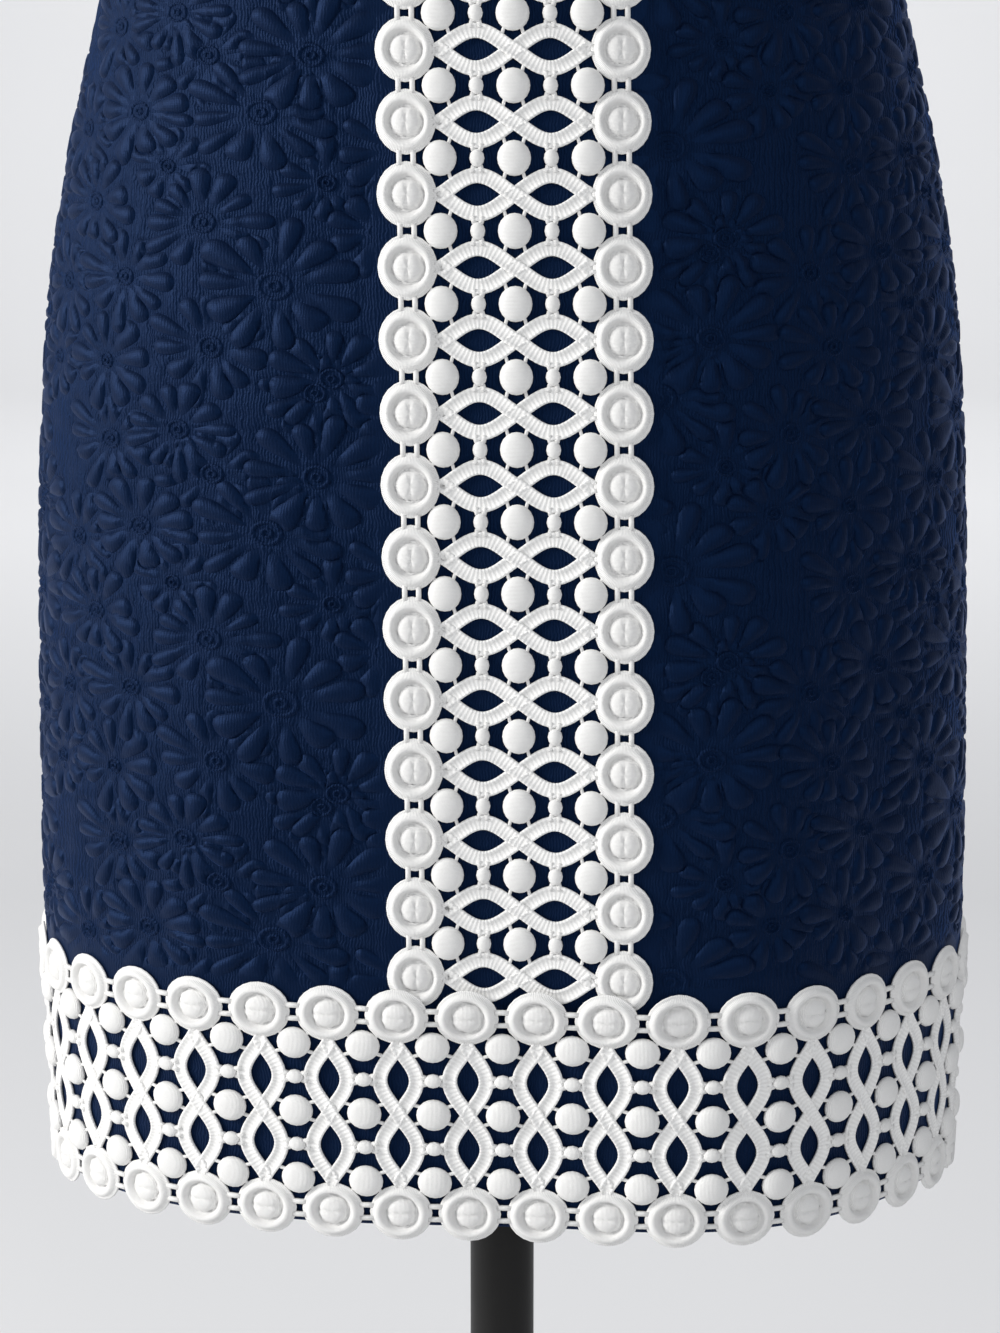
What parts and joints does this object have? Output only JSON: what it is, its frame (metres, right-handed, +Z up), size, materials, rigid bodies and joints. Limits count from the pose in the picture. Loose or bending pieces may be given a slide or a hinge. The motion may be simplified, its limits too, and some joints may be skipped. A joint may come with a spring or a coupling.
{
  "type": "cocktail dress on a limbless dress form",
  "caption": "Sleeveless quilted cocktail dress with lace down the front and round the hem, standing open at neck, armholes and hem on a padded form with a pole and round base.",
  "frame": {"origin": "on the floor at the middle of the round base's underside, which the stand rests on", "axes": "+Z up the pole, -Y the way the dress faces, +X to the viewer's right as they face its front"},
  "size_m": [0.4263, 0.4, 1.5053],
  "materials": {
    "cloth": "quilted jacquard with raised daisies on a crepe ground, soft sheen",
    "lace": "white corded guipure lace, matt",
    "zip_tape": "narrow coil zip in matching thread",
    "zip_metal": "small bright slider and pull",
    "form_cover": "smooth woven cotton cover",
    "neck_wood": "waxed, turned",
    "satin_black": "satin black powder coat"
  },
  "bodies": {
    "dress": {"front_panel": "cloth", "back_right_panel": "cloth", "back_left_panel": "cloth", "front_lace": "lace", "hem_lace": "lace", "zip_chain": "zip_tape", "zip_slider": "zip_metal", "form_torso": "form_cover", "neck_cap": "neck_wood", "form_socket": "satin_black", "pole": "satin_black", "base_collar": "satin_black", "base_plate": "satin_black"},
    "zip_pull": {"zip_pull": "zip_metal"}
  },
  "joints": [
    {"name": "zip_pull_hinge", "type": "hinge", "parent": "dress", "child": "zip_pull", "pos_m": [0, 0.08357, 1.39093], "axis": [1, 0, 0], "range_deg": [0, 150]}
  ]
}
